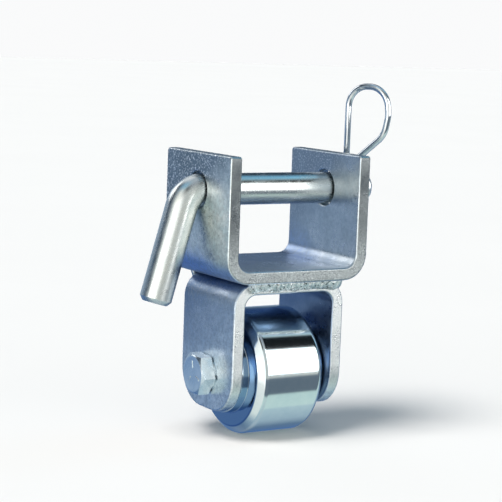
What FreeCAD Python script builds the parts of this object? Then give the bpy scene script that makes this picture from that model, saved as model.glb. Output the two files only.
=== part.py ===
"""Roller bracket for a 2 inch towing receiver, in millimetres.

A U-shaped saddle is held under the receiver tube by a bent hitch pin and a spring clip. An
inverted U-shaped fork is welded under it and carries a steel roller on a bolt.

Frame: the origin is the middle of the saddle's floor, +Z is up, X runs along both shafts with
the bolt head and the pin's handle at -X, and +Y points along the receiver, into the vehicle.
"""
import math
import os

import FreeCAD
import Part
import Sketcher
from FreeCAD import Vector

DOC = FreeCAD.newDocument("roller_bracket")

SIZES = {
    # the tube that the saddle straddles, and the room it has on each side
    "receiver_width": 63.5,
    "receiver_play": 2.25,
    # bent plate
    "plate": 6.35,
    "bend_inner": 6.35,
    "saddle_depth": 63.5,
    "pin_height": 37.1,
    "ear_above_pin": 18.5,
    "fork_width": 63.5,
    "ear_below_axle": 18.0,
    "fork_corner": 19.05,
    # weld beads, on the shelf that the saddle leaves in front of and behind the fork
    "weld_shelf": 6.35,
    "weld_leg": 5.9,
    "weld_nose": 4.6,
    "front_weld_left_gap": 6.75,
    "front_weld_right_gap": 2.75,
    "rear_weld_gap": 4.75,
    # axle bolt and lock nut
    "bolt_dia": 12.7,
    "bolt_past_nut": 4.0,
    "bolt_point": 1.2,
    "bolt_hole_gap": 0.4,
    "hex_flats": 19.05,
    "head_height": 7.94,
    "head_turn": 5.0,
    "nut_turn": 22.0,
    "nut_height": 8.7,
    "nut_hex_height": 6.1,
    "nut_collar_wall": 0.8,
    "nut_lip": 0.6,
    "thread_gap": 0.05,
    "insert_height": 2.1,
    "insert_wall": 1.25,
    # roller and its bearing
    "roller_dia": 63.5,
    "roller_side_gap": 6.35,
    "roller_top_gap": 10.3,
    "rim_run": 5.05,
    "rim_rise": 3.95,
    "rim_mid_run": 2.1,
    "rim_mid_rise": 0.75,
    "hub_dia": 41.3,
    "hub_play": 0.5,
    "hub_edge": 1.0,
    "bushing_wall": 1.525,
    "bushing_length": 22.0,
    "bushing_play": 0.2,
    "sleeve_wall": 2.975,
    "sleeve_gap": 0.2,
    "running_gap": 0.05,
    # hitch pin
    "hitch_dia": 15.88,
    "hitch_play": 1.16,
    "hitch_bend_inner": 3.56,
    "hitch_lean": 15.8,
    "hitch_reach": 2.5,
    "handle_drop": 55.2,
    "hitch_tip": 19.2,
    "hitch_edge": 1.6,
    "handle_edge": 2.0,
    # spring clip
    "clip_out": 6.9,
    "clip_wire": 3.2,
    "clip_hole_gap": 0.6,
    "clip_turn": 66.5,
    "clip_leg_low": 30.0,
    "clip_top": 52.2,
    "clip_loop": 10.9,
    "clip_kink_out": 23.9,
    "clip_kink_up": 38.2,
    "clip_hip_out": 21.8,
    "clip_hip_up": 28.0,
    "clip_neck_out": 6.4,
    "clip_neck_rise": 7.06,
    "clip_bow_gap": 2.26,
    "clip_waist_out": 5.6,
    "clip_waist_drop": 5.56,
    "clip_end_out": 11.5,
    "clip_end_drop": 16.06,
    "clip_bend": 4.0,
}


class Size:
    """A number together with the spreadsheet expression that gives it."""

    def __init__(self, value, text):
        self.value, self.text = value, text

    def _with(self, other, sign, result, swap=False):
        text = other.text if isinstance(other, Size) else repr(other)
        first, last = (text, self.text) if swap else (self.text, text)
        return Size(result, f"({first} {sign} {last})")

    def __add__(self, other):
        return self._with(other, "+", self.value + number(other))

    def __sub__(self, other):
        return self._with(other, "-", self.value - number(other))

    def __mul__(self, other):
        return self._with(other, "*", self.value * number(other))

    def __truediv__(self, other):
        return self._with(other, "/", self.value / number(other))

    def __neg__(self):
        return Size(-self.value, f"(0 - {self.text})")


def number(size):
    return size.value if isinstance(size, Size) else size


def tangent(angle):
    return Size(math.tan(math.radians(angle.value)), f"tan({angle.text})")


def fill_sheet():
    sheet = DOC.addObject("Spreadsheet::Sheet", "sizes")
    for row, (name, value) in enumerate(SIZES.items(), start=1):
        sheet.set(f"A{row}", name)
        sheet.set(f"B{row}", str(value))
        sheet.setAlias(f"B{row}", name)
    DOC.recompute()


fill_sheet()
S = {name: Size(value, f"sizes.{name}") for name, value in SIZES.items()}
ZERO = Size(0.0, "0")

# planes and levels that several pieces share
SADDLE_HALF = S["receiver_width"] / 2 + S["receiver_play"] + S["plate"]
SADDLE_TOP = S["pin_height"] + S["ear_above_pin"]
FORK_HALF = S["fork_width"] / 2
FORK_DEPTH = S["saddle_depth"] - S["weld_shelf"] * 2
FORK_TOP = -S["plate"]
EAR_GAP_HALF = FORK_HALF - S["plate"]
ROLLER_HALF = EAR_GAP_HALF - S["roller_side_gap"]
AXLE_Z = FORK_TOP - S["plate"] - S["roller_top_gap"] - S["roller_dia"] / 2
FORK_LOW = AXLE_Z - S["ear_below_axle"]
HITCH_HOLE = S["hitch_dia"] + S["hitch_play"] * 2
SLEEVE_BORE = S["bolt_dia"] + S["sleeve_gap"] * 2
SLEEVE_DIA = SLEEVE_BORE + S["sleeve_wall"] * 2
BUSHING_BORE = SLEEVE_DIA + S["running_gap"] * 2
BUSHING_DIA = BUSHING_BORE + S["bushing_wall"] * 2
INSERT_DIA = S["bolt_dia"] + S["insert_wall"] * 2
PIN_TIP = SADDLE_HALF + S["hitch_tip"]
CLIP_X = SADDLE_HALF + S["clip_out"]


def new_body(name):
    body = DOC.addObject("PartDesign::Body", name)
    body.Label = name
    return body


def origin_item(body, role):
    return next(o for o in body.Origin.OriginFeatures if o.Role == role)


def new_sketch(body, name, plane="XZ_Plane", lift=None):
    sketch = body.newObject("Sketcher::SketchObject", f"{body.Name}_{name}")
    sketch.AttachmentSupport = [(origin_item(body, plane), "")]
    sketch.MapMode = "FlatFace"
    if lift is not None:
        sketch.setExpression("AttachmentOffset.Base.z", lift.text)
    return sketch


def bind(sketch, kind, *args):
    """Add a constraint whose last argument is a Size."""
    *where, size = args
    i = sketch.addConstraint(Sketcher.Constraint(kind, *where, size.value))
    sketch.setExpression(f"Constraints[{i}]", size.text)


def pin_down(sketch, item, end, across, up):
    """Fix a point of the sketch at (across, up) from its origin."""
    bind(sketch, "DistanceX", -1, 1, item, end, across)
    bind(sketch, "DistanceY", -1, 1, item, end, up)


def outline(sketch, corners):
    """Close a polygon through the corners, each a pair of Sizes."""
    spots = [Vector(a.value, b.value, 0) for a, b in corners]
    ring = [sketch.addGeometry(Part.LineSegment(p, q)) for p, q in zip(spots, spots[1:] + spots[:1])]
    for here, after in zip(ring, ring[1:] + ring[:1]):
        sketch.addConstraint(Sketcher.Constraint("Coincident", here, 2, after, 1))
    for item, (across, up) in zip(ring, corners):
        pin_down(sketch, item, 1, across, up)


def box_outline(sketch, low, high):
    outline(sketch, [low, (high[0], low[1]), high, (low[0], high[1])])


def ring_outline(sketch, diameters, across=ZERO, up=ZERO):
    for diameter in diameters:
        spot = Vector(across.value, up.value, 0)
        item = sketch.addGeometry(Part.Circle(spot, Vector(0, 0, 1), diameter.value / 2))
        pin_down(sketch, item, 3, across, up)
        bind(sketch, "Diameter", item, diameter)


def hexagon(sketch, flats, turn, up):
    """A bound hexagon on the YZ plane, one corner turned from +Y towards +Z."""
    reach = flats / math.sqrt(3)
    corners = []
    for k in range(6):
        angle = turn + 60.0 * k
        radians = math.radians(angle.value)
        cos = Size(math.cos(radians), f"cos({angle.text})")
        sin = Size(math.sin(radians), f"sin({angle.text})")
        corners.append((reach * cos, reach * sin + up))
    outline(sketch, corners)


def bent_path(sketch, corners, radii):
    """Draw lines through the corners, joined by tangent arcs of the given radii."""
    spots = [Vector(a.value, b.value, 0) for a, b in corners]
    ways = [(q - p).normalize() for p, q in zip(spots, spots[1:])]
    trims = [0.0]
    for before, after, radius in zip(ways, ways[1:], radii):
        trims.append(radius.value * math.tan(before.getAngle(after) / 2))
    trims.append(0.0)
    lines = [
        sketch.addGeometry(Part.LineSegment(p + w * i, q - w * j))
        for p, q, w, i, j in zip(spots, spots[1:], ways, trims, trims[1:])
    ]
    for k, radius in enumerate(radii):
        corner, before, after = spots[k + 1], ways[k], ways[k + 1]
        start, stop = corner - before * trims[k + 1], corner + after * trims[k + 1]
        left_turn = before.cross(after).z > 0
        side = 1 if left_turn else -1
        centre = start + Vector(-before.y, before.x, 0) * (side * radius.value)
        first, last = (start, stop) if left_turn else (stop, start)
        angles = [math.atan2(s.y - centre.y, s.x - centre.x) for s in (first, last)]
        circle = Part.Circle(centre, Vector(0, 0, 1), radius.value)
        arc = sketch.addGeometry(Part.ArcOfCircle(circle, *angles))
        enter, leave = (1, 2) if left_turn else (2, 1)
        sketch.addConstraint(Sketcher.Constraint("Tangent", lines[k], 2, arc, enter))
        sketch.addConstraint(Sketcher.Constraint("Tangent", arc, leave, lines[k + 1], 1))
        bind(sketch, "Radius", arc, radius)
        mark = sketch.addGeometry(Part.Point(corner), True)
        pin_down(sketch, mark, 1, *corners[k + 1])
        for line in lines[k : k + 2]:
            sketch.addConstraint(Sketcher.Constraint("PointOnObject", mark, 1, line))
    pin_down(sketch, lines[0], 1, *corners[0])
    pin_down(sketch, lines[-1], 2, *corners[-1])


def pad(body, sketch, length, way="One side", flip=False, kind="Pad"):
    feature = body.newObject(f"PartDesign::{kind}", f"{sketch.Name}_{kind.lower()}")
    feature.Profile = sketch
    feature.setExpression("Length", length.text)
    feature.SideType = way
    feature.Reversed = flip
    sketch.Visibility = False
    return feature


def pocket(body, sketch, length, way="Symmetric", flip=False):
    return pad(body, sketch, length, way, flip, "Pocket")


def spin(body, sketch, axis="X_Axis", kind="Revolution"):
    feature = body.newObject(f"PartDesign::{kind}", f"{sketch.Name}_{kind.lower()}")
    feature.Profile = sketch
    feature.ReferenceAxis = (origin_item(body, axis), [""])
    feature.Angle = 360.0
    return feature


def soften(body, size, wanted, kind="Fillet"):
    """Fillet or chamfer every edge of the body's tip that the test picks."""
    DOC.recompute()
    tip = body.Tip
    names = [f"Edge{i}" for i, edge in enumerate(tip.Shape.Edges, start=1) if wanted(edge)]
    feature = body.newObject(f"PartDesign::{kind}", f"{body.Name}_{kind.lower()}_{len(body.Group)}")
    feature.Base = (tip, names)
    feature.setExpression("Radius" if kind == "Fillet" else "Size", size.text)
    return feature


def runs_along(edge, axis):
    if not isinstance(edge.Curve, Part.Line):
        return False
    return abs(abs(edge.Curve.Direction.dot(axis)) - 1) < 1e-6


def near(value, target):
    return abs(value - target) < 1e-3


def lift_to_axle(body):
    """Turned pieces are drawn about X and stand at the axle's height."""
    body.setExpression("Placement.Base.z", AXLE_Z.text)


def bent_plate(name, half, low, high, depth, floor_side):
    """A U of bent plate: a box, less its inside, with all four bends rounded."""
    body = new_body(name)
    block = new_sketch(body, "block")
    box_outline(block, (-half, low), (half, high))
    pad(body, block, depth, "Symmetric")
    inside = new_sketch(body, "inside")
    inner = half - S["plate"]
    bottom, top = (low + S["plate"], high) if floor_side < 0 else (low, high - S["plate"])
    box_outline(inside, (-inner, bottom), (inner, top))
    pocket(body, inside, depth)
    outer_z, inner_z = (low, bottom) if floor_side < 0 else (high, top)
    for size, x, z in ((S["bend_inner"] + S["plate"], half, outer_z), (S["bend_inner"], inner, inner_z)):
        soften(
            body,
            size,
            lambda e: runs_along(e, Vector(0, 1, 0))
            and near(abs(e.CenterOfMass.x), x.value)
            and near(e.CenterOfMass.z, z.value),
        )
    return body


def make_saddle():
    body = bent_plate(
        "saddle_bracket", SADDLE_HALF, -S["plate"], SADDLE_TOP, S["saddle_depth"], -1
    )
    holes = new_sketch(body, "pin_holes", "YZ_Plane")
    ring_outline(holes, [HITCH_HOLE], up=S["pin_height"])
    pocket(body, holes, SADDLE_HALF * 2)


def make_fork():
    body = bent_plate("fork_bracket", FORK_HALF, FORK_LOW, FORK_TOP, FORK_DEPTH, 1)
    soften(
        body,
        S["fork_corner"],
        lambda e: runs_along(e, Vector(1, 0, 0))
        and near(e.CenterOfMass.z, FORK_LOW.value)
        and near(abs(e.CenterOfMass.y), FORK_DEPTH.value / 2),
    )
    holes = new_sketch(body, "bolt_holes", "YZ_Plane")
    ring_outline(holes, [S["bolt_dia"] + S["bolt_hole_gap"] * 2], up=AXLE_Z)
    pocket(body, holes, FORK_HALF * 2)


def make_weld(name, side, left_gap, right_gap):
    """A convex bead in the corner between the saddle's underside and the fork's face."""
    body = new_body(name)
    left, right = FORK_HALF - left_gap, FORK_HALF - right_gap
    face, leg, nose = FORK_DEPTH / 2, S["weld_leg"], S["weld_nose"]
    bead = new_sketch(body, "bead", "YZ_Plane", -left)
    out = [(0, 0), (leg, 0), (leg * 0.96, 0.12), (nose, 0.55), (leg * 0.52, 0.84), (leg * 0.12, 1), (0, 1)]
    corners = []
    for reach, down in out:
        reach = reach if isinstance(reach, Size) else ZERO
        corners.append(((face + reach) * float(side), FORK_TOP - leg * float(down)))
    outline(bead, corners)
    pad(body, bead, left + right)


def make_bolt():
    body = new_body("axle_bolt")
    shank = new_sketch(body, "shank")
    radius, point = S["bolt_dia"] / 2, S["bolt_point"]
    tip = FORK_HALF + S["nut_height"] + S["bolt_past_nut"]
    outline(
        shank,
        [(-FORK_HALF, ZERO), (tip, ZERO), (tip, radius - point), (tip - point, radius), (-FORK_HALF, radius)],
    )
    spin(body, shank)
    head = new_sketch(body, "head", "YZ_Plane", -FORK_HALF)
    hexagon(head, S["hex_flats"], S["head_turn"], ZERO)
    pad(body, head, S["head_height"], flip=True)
    trim_corners(body, -FORK_HALF - S["head_height"], 1.0)
    lift_to_axle(body)


def trim_corners(body, end, inward):
    """Turn the corners of a hexagon's end face down to a 30 degree cone."""
    trim = new_sketch(body, "trim")
    flat, corner = S["hex_flats"] * 0.475, S["hex_flats"] / math.sqrt(3) + 1.0
    drop = (corner - flat) * (math.tan(math.radians(30)) * inward)
    outline(trim, [(end, flat), (end + drop, corner), (end - inward, corner), (end - inward, flat)])
    spin(body, trim, kind="Groove")


def make_nut():
    body = new_body("lock_nut")
    seat, top = FORK_HALF, FORK_HALF + S["nut_height"]
    bore = S["bolt_dia"] + S["thread_gap"] * 2
    block = new_sketch(body, "block", "YZ_Plane", seat)
    hexagon(block, S["hex_flats"], S["nut_turn"], ZERO)
    pad(body, block, S["nut_hex_height"])
    trim_corners(body, seat + S["nut_hex_height"], -1.0)
    collar = new_sketch(body, "collar", "YZ_Plane", seat)
    ring_outline(collar, [INSERT_DIA + S["nut_collar_wall"] * 2])
    pad(body, collar, S["nut_height"])
    cut = new_sketch(body, "bore")
    pocket_low = top - S["nut_lip"] - S["insert_height"]
    thread, wide = bore / 2, INSERT_DIA / 2
    mouth = thread + S["nut_lip"] / 2
    outline(
        cut,
        [
            (seat, ZERO), (seat, thread), (pocket_low, thread), (pocket_low, wide),
            (top - S["nut_lip"], wide), (top - S["nut_lip"], mouth), (top, mouth), (top, ZERO),
        ],
    )
    spin(body, cut, kind="Groove")
    lift_to_axle(body)
    insert = new_body("nut_nylon_insert")
    washer = new_sketch(insert, "ring", "YZ_Plane", pocket_low)
    ring_outline(washer, [S["bolt_dia"], INSERT_DIA])
    pad(insert, washer, S["insert_height"])
    lift_to_axle(insert)


def make_roller():
    body = new_body("roller")
    half, tread = ROLLER_HALF, S["roller_dia"] / 2
    hub_end, hub, edge = EAR_GAP_HALF - S["hub_play"], S["hub_dia"] / 2, S["hub_edge"]
    bore = BUSHING_DIA / 2
    right = [
        (hub_end, bore), (hub_end, hub - edge), (hub_end - edge, hub), (half, hub),
        (half, tread - S["rim_rise"]),
        (half - S["rim_run"] + S["rim_mid_run"], tread - S["rim_mid_rise"]),
        (half - S["rim_run"], tread),
    ]
    left = [(-across, up) for across, up in reversed(right)]
    section = new_sketch(body, "section")
    outline(section, right + left)
    spin(body, section)
    lift_to_axle(body)


def make_bearing():
    for name, side in (("bushing_left", -1), ("bushing_right", 1)):
        body = new_body(name)
        end = EAR_GAP_HALF - S["hub_play"] - S["bushing_play"]
        ring = new_sketch(body, "ring", "YZ_Plane", end * float(side))
        ring_outline(ring, [BUSHING_BORE, BUSHING_DIA])
        pad(body, ring, S["bushing_length"], flip=side > 0)
        lift_to_axle(body)
    sleeve = new_body("axle_sleeve")
    tube = new_sketch(sleeve, "tube", "YZ_Plane")
    ring_outline(tube, [SLEEVE_BORE, SLEEVE_DIA])
    pad(sleeve, tube, EAR_GAP_HALF * 2, "Symmetric")
    lift_to_axle(sleeve)


def sweep(body, spine, section):
    pipe = body.newObject("PartDesign::AdditivePipe", f"{body.Name}_pipe")
    pipe.Profile = section
    pipe.Spine = spine
    return pipe


def make_hitch_pin():
    """Drawn about X: a straight shank with a leaning handle bent down at the left."""
    body = new_body("hitch_pin")
    shank = new_sketch(body, "shank", "YZ_Plane")
    ring_outline(shank, [S["hitch_dia"]])
    pad(body, shank, PIN_TIP)
    bend = S["hitch_dia"] / 2 + S["hitch_bend_inner"]
    corner = -SADDLE_HALF - bend * tangent((-S["hitch_lean"] + 90) / 2) + S["hitch_reach"]
    end = (corner - S["handle_drop"] * tangent(S["hitch_lean"]), -S["handle_drop"])
    spine = new_sketch(body, "spine")
    bent_path(spine, [(ZERO, ZERO), (corner, ZERO), end], [bend])
    section = new_sketch(body, "section", "YZ_Plane")
    ring_outline(section, [S["hitch_dia"]])
    sweep(body, spine, section)
    hole = new_sketch(body, "clip_hole", "XY_Plane")
    ring_outline(hole, [S["clip_wire"] + S["clip_hole_gap"] * 2], across=CLIP_X)
    pocket(body, hole, S["hitch_dia"] * 2)
    soften(
        body, S["hitch_edge"], lambda e: is_circle(e) and near(e.CenterOfMass.x, PIN_TIP.value), "Chamfer"
    )
    soften(
        body, S["handle_edge"], lambda e: is_circle(e) and e.CenterOfMass.z < -S["handle_drop"].value + 3, "Chamfer"
    )
    body.setExpression("Placement.Base.z", S["pin_height"].text)


def is_circle(edge):
    return isinstance(edge.Curve, Part.Circle) and edge.isClosed()


def make_clip():
    """Drawn upright about its straight leg, then turned about it and set on the pin."""
    body = new_body("spring_clip")
    leg = new_sketch(body, "leg", "XY_Plane")
    ring_outline(leg, [S["clip_wire"]])
    pad(body, leg, S["clip_leg_low"], flip=True)
    loop, bend, top = S["clip_loop"], S["clip_bend"], S["clip_top"]
    pin, wire = S["hitch_dia"] / 2, S["clip_wire"] / 2
    corners = [
        (ZERO, ZERO),
        (ZERO, top),
        (loop * 2.03, top),
        (S["clip_kink_out"], S["clip_kink_up"]),
        (S["clip_hip_out"], S["clip_hip_up"]),
        (S["clip_neck_out"], pin + S["clip_neck_rise"]),
        (pin + wire + S["clip_bow_gap"], ZERO),
        (S["clip_waist_out"], -pin - S["clip_waist_drop"]),
        (S["clip_end_out"], -pin - S["clip_end_drop"]),
    ]
    bends = [loop, loop, bend, loop * 0.7, bend, bend * 1.6, bend]
    spine = new_sketch(body, "spine")
    bent_path(spine, corners, bends)
    section = new_sketch(body, "section", "XY_Plane")
    ring_outline(section, [S["clip_wire"]])
    sweep(body, spine, section)
    body.setExpression("Placement.Base.x", CLIP_X.text)
    body.setExpression("Placement.Base.z", S["pin_height"].text)
    body.Placement.Rotation = FreeCAD.Rotation(Vector(0, 0, 1), -SIZES["clip_turn"])


make_saddle()
make_fork()
make_weld("front_weld", -1, S["front_weld_left_gap"], S["front_weld_right_gap"])
make_weld("rear_weld", 1, S["rear_weld_gap"], S["rear_weld_gap"])
make_bolt()
make_nut()
make_roller()
make_bearing()
make_hitch_pin()
make_clip()
DOC.recompute()

os.makedirs("parts", exist_ok=True)
for item in DOC.Objects:
    if "Invalid" in item.State or "Error" in item.State:
        raise RuntimeError(f"{item.Name} did not build: {item.State}")
for body in DOC.findObjects("PartDesign::Body"):
    shape = body.Shape
    if not shape.isValid() or len(shape.Solids) != 1:
        raise RuntimeError(f"{body.Label} is not one valid solid")
    shape.exportStep(f"parts/{body.Label}.step")
    box = shape.BoundBox
    print(f"{body.Label:18s} {shape.Volume:10.1f} mm3  {box.XMin:.1f} {box.XMax:.1f} | "
          f"{box.YMin:.1f} {box.YMax:.1f} | {box.ZMin:.1f} {box.ZMax:.1f}")
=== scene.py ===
"""Visual model of a receiver roller bracket: bent zinc plates, a polished roller, a bent pin.

Metres, in the frame of the CAD model: the origin is the middle of the saddle's floor, +Z is up,
X runs along both shafts and +Y points into the vehicle.
"""
import math

import bmesh
import bpy
from mathutils import Matrix, Vector, noise


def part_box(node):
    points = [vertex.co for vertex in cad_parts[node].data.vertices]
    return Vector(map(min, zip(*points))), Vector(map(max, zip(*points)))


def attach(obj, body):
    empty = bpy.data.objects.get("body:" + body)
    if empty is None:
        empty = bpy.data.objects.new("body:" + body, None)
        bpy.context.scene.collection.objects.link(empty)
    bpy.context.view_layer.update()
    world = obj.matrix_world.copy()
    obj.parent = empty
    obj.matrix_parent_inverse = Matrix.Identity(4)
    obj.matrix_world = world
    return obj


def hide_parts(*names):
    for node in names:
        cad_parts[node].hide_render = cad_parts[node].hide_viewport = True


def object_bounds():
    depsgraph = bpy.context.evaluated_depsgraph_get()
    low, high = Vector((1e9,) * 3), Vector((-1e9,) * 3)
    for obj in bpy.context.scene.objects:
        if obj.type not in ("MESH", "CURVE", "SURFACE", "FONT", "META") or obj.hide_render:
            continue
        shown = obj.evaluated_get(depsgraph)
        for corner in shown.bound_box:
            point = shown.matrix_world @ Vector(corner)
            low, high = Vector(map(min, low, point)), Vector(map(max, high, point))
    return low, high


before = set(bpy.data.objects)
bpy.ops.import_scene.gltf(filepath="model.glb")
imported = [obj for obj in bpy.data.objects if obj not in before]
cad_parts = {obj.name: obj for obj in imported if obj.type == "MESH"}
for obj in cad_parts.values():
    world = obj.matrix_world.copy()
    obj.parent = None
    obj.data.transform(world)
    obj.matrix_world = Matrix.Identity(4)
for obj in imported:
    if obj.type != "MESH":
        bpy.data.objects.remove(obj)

CAD_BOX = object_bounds()

MM = 0.001

# sizes that the boxes of the CAD nodes don't give
PLATE = 6.35 * MM
BEND_INNER = 6.35 * MM
PIN_HEIGHT = 37.1 * MM
PIN_HOLE = 9.1 * MM
BOLT_HOLE = 6.75 * MM
FORK_CORNER = 19.05 * MM
SADDLE_CORNER = 1.5 * MM
HEX_FLATS = 19.05 * MM
HEX_SEGMENTS = 144
CONE_START = 0.95
BOLT_RADIUS = 6.35 * MM
THREAD_PITCH = 1.954 * MM
THREAD_DEPTH = 0.95 * MM
HEAD_TURN = 5.0
NUT_TURN = 22.0
NUT_HEX_HEIGHT = 6.1 * MM
TREAD_HALF = 14.0 * MM
RIM_MID = (16.1 * MM, 31.0 * MM)
RIM_EDGE = (19.05 * MM, 27.8 * MM)
HUB_RADIUS = 20.65 * MM
HITCH_BEND = 11.5 * MM
HITCH_LEAN = 15.8
HANDLE_DROP = 55.2 * MM
WIRE = 1.6 * MM
CLIP_TURN = 66.5
CLIP_HOLE = 2.2 * MM
BUSHING_WALL = 1.525 * MM
SLEEVE_WALL = 2.975 * MM

# edge rounding of the two plates
SADDLE_EDGE = 1.1 * MM
FORK_EDGE = 1.3 * MM

AXLE_Z = sum(corner.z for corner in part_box("roller")) / 2

PALE_EDGE = (0.97, 0.99, 0.98)


def to_piece(name, skin, body, slot, finish, *nodes):
    """Make an object of a bmesh, let it ride on its body and stand for its CAD nodes."""
    bmesh.ops.recalc_face_normals(skin, faces=skin.faces)
    for face in skin.faces:
        face.smooth = True
    mesh = bpy.data.meshes.new(name)
    skin.to_mesh(mesh)
    skin.free()
    piece = bpy.data.objects.new(name, mesh)
    bpy.context.scene.collection.objects.link(piece)
    mesh.materials.append(finish)
    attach(piece, body)
    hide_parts(*nodes)
    return piece


def round_edges(piece, width):
    """Round the plate's steep edges and keep its faces flat in the shading."""
    bevel = piece.modifiers.new("rounded", "BEVEL")
    bevel.width = width
    bevel.segments = 3
    bevel.limit_method = "ANGLE"
    bevel.angle_limit = math.radians(32)
    bevel.harden_normals = True


def crisp(piece, angle=32, flatten=True):
    """Keep steep edges sharp and, if asked, flat faces flat in the shading."""
    piece.data.set_sharp_from_angle(angle=math.radians(angle))
    if flatten:
        weights = piece.modifiers.new("flat_faces", "WEIGHTED_NORMAL")
        weights.keep_sharp = True


# ---------------------------------------------------------------- finishes


class Nodes:
    """Short ways to add and join the shader nodes of a material or a world."""

    def __init__(self, owner):
        owner.use_nodes = True
        self.tree = owner.node_tree
        self.tree.nodes.clear()

    def add(self, kind, **settings):
        node = self.tree.nodes.new(kind)
        for key, value in settings.items():
            setattr(node, key, value)
        return node

    def feed(self, socket, value):
        if isinstance(value, bpy.types.NodeSocket):
            self.tree.links.new(value, socket)
        else:
            socket.default_value = value

    def math(self, operation, first, second=0.0):
        node = self.add("ShaderNodeMath", operation=operation)
        self.feed(node.inputs[0], first)
        self.feed(node.inputs[1], second)
        return node.outputs["Value"]

    def span(self, value, low, high, first=0.0, last=1.0):
        """Carry the range low to high over to first to last, held at both ends."""
        node = self.add("ShaderNodeMapRange")
        names = ("Value", "From Min", "From Max", "To Min", "To Max")
        for key, item in zip(names, (value, low, high, first, last)):
            self.feed(node.inputs[key], item)
        return node.outputs["Result"]

    def blend(self, amount, first, second):
        """Mix two colours, each a socket or a triple."""
        node = self.add("ShaderNodeMix", data_type="RGBA")
        self.feed(node.inputs["Factor"], amount)
        for slot, colour in ((6, first), (7, second)):
            is_socket = isinstance(colour, bpy.types.NodeSocket)
            self.feed(node.inputs[slot], colour if is_socket else (*colour, 1.0))
        return node.outputs[2]


class Finish(Nodes):
    """A Principled material with the node chains that the pieces share."""

    def __init__(self, name, metallic=1.0):
        self.material = bpy.data.materials.new(name)
        super().__init__(self.material)
        self.shader = self.add("ShaderNodeBsdfPrincipled")
        self.shader.inputs["Metallic"].default_value = metallic
        output = self.add("ShaderNodeOutputMaterial")
        self.tree.links.new(self.shader.outputs["BSDF"], output.inputs["Surface"])
        self.place = self.add("ShaderNodeTexCoord").outputs["Object"]
        self.normal = None

    def noise(self, scale, detail=3.0, roughness=0.6, stretch=None, place=None):
        place = place or self.place
        if stretch:
            place = self.vector("MULTIPLY", place, stretch)
        node = self.add("ShaderNodeTexNoise")
        self.feed(node.inputs["Vector"], place)
        node.inputs["Scale"].default_value = scale
        node.inputs["Detail"].default_value = detail
        node.inputs["Roughness"].default_value = roughness
        return node.outputs["Fac"]

    def vector(self, operation, first, second):
        node = self.add("ShaderNodeVectorMath", operation=operation)
        self.feed(node.inputs[0], first)
        self.feed(node.inputs[1], second)
        return node.outputs["Value" if operation == "DOT_PRODUCT" else "Vector"]

    def axes(self, place=None):
        node = self.add("ShaderNodeSeparateXYZ")
        self.feed(node.inputs["Vector"], place or self.place)
        return node.outputs["X"], node.outputs["Y"], node.outputs["Z"]

    def facing(self, axis):
        """How squarely the surface faces along an axis, from 0 to 1."""
        place = self.add("ShaderNodeTexCoord").outputs["Normal"]
        return self.math("ABSOLUTE", self.axes(place)["XYZ".index(axis)])

    def raise_by(self, height, strength, distance):
        """Add bumps on top of those already there."""
        node = self.add("ShaderNodeBump")
        node.inputs["Strength"].default_value = strength
        node.inputs["Distance"].default_value = distance
        self.feed(node.inputs["Height"], height)
        if self.normal:
            self.feed(node.inputs["Normal"], self.normal)
        self.normal = node.outputs["Normal"]

    def worn_edges(self, radius):
        """1 near convex or concave edges, broken up by grain."""
        bevel = self.add("ShaderNodeBevel", samples=6)
        bevel.inputs["Radius"].default_value = radius
        flat = self.add("ShaderNodeNewGeometry").outputs["Normal"]
        turn = self.math("SUBTRACT", 1.0, self.vector("DOT_PRODUCT", bevel.outputs["Normal"], flat))
        patchy = self.span(self.noise(260.0, 4.0), 0.3, 0.7, 0.5, 1.3)
        return self.math("MULTIPLY", self.span(turn, 0.01, 0.12), patchy)

    def brighten(self, colour, wear, edge, most=1.0):
        """Blend the worn edges in."""
        return self.blend(self.math("MINIMUM", wear, most), colour, edge)

    def finish(self, colour, roughness):
        self.feed(self.shader.inputs["Base Color"], colour)
        self.feed(self.shader.inputs["Roughness"], roughness)
        if self.normal:
            self.feed(self.shader.inputs["Normal"], self.normal)
        return self.material


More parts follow.
